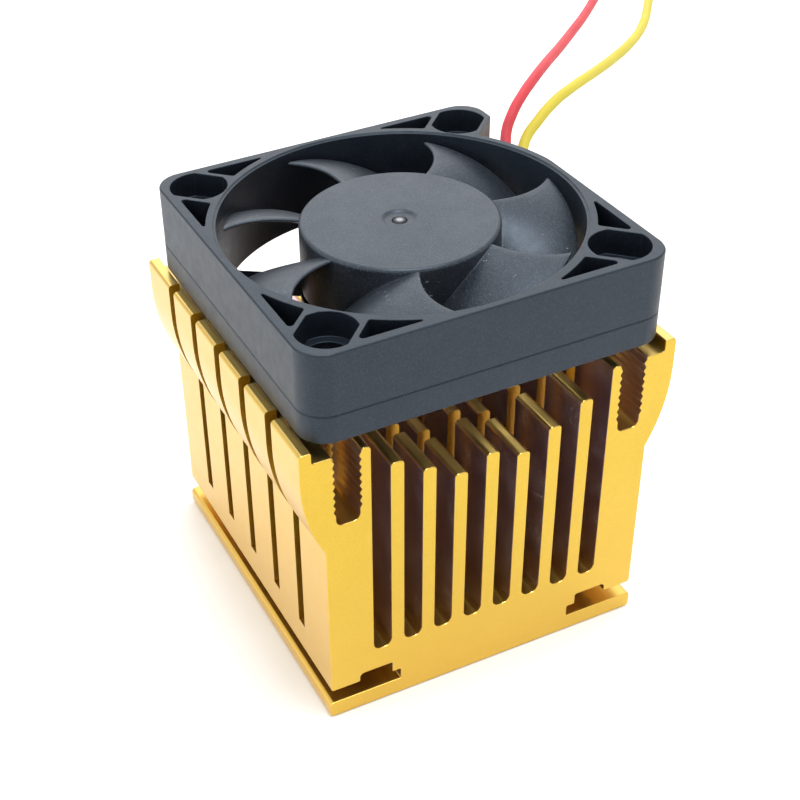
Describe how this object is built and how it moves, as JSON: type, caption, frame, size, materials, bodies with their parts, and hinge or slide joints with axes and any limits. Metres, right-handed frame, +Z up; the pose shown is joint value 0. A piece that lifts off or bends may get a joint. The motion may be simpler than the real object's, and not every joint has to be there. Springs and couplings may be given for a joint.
{
  "type": "fan-cooled heatsink",
  "caption": "Gold-anodised aluminium fin block with flared sides and serrated screw grooves, cooled by a small black axial fan standing on its lips, with two insulated leads.",
  "frame": {"origin": "centre of the fin block's underside, on the surface it stands on", "axes": "+X across the fins towards the side the leads leave on, +Y along the extrusion to the back, +Z up to the fan's inlet face"},
  "size_m": [0.1251, 0.1041, 0.0466],
  "materials": {
    "gold_anodised": "satin gold anodised",
    "black_plastic": "fine spark-eroded grain",
    "hub_plastic": "satin",
    "yoke_steel": "drawn and nickel plated",
    "ferrite": "flexible bonded ferrite",
    "shaft_steel": "ground",
    "bronze": "sintered and oiled",
    "nylon": "natural",
    "silicon_steel": "stamped laminations",
    "copper_enamel": "enamelled winding wire",
    "circuit_board": "solder mask",
    "chip_epoxy": "moulded epoxy",
    "label_film": "plain metallised film",
    "red_pvc": "soft extruded insulation",
    "yellow_pvc": "soft extruded insulation",
    "white_nylon": "natural",
    "tinned_brass": "tin plated"
  },
  "bodies": {
    "cooler_body": {"heatsink": "gold_anodised", "fan_frame": "black_plastic", "sleeve_bearing": "bronze", "thrust_washer": "nylon", "stator_core": "silicon_steel", "insulator_upper": "nylon", "insulator_lower": "nylon", "stator_coil_1": "copper_enamel", "stator_coil_2": "copper_enamel", "stator_coil_3": "copper_enamel", "stator_coil_4": "copper_enamel", "circuit_board": "circuit_board", "hall_driver_chip": "chip_epoxy", "smoothing_capacitor": "chip_epoxy", "rating_label": "label_film", "red_lead": "red_pvc", "yellow_lead": "yellow_pvc", "connector_housing": "white_nylon", "red_contact": "tinned_brass", "yellow_contact": "tinned_brass"},
    "rotor": {"impeller": "hub_plastic", "rotor_yoke": "yoke_steel", "rotor_magnet": "ferrite", "rotor_shaft": "shaft_steel", "shaft_clip": "shaft_steel", "oil_slinger": "nylon"}
  },
  "joints": [
    {"name": "rotor_spin", "type": "hinge", "parent": "cooler_body", "child": "rotor", "pos_m": [0, -0.0004, 0.0416], "axis": [0, 0, 1], "continuous": true}
  ]
}
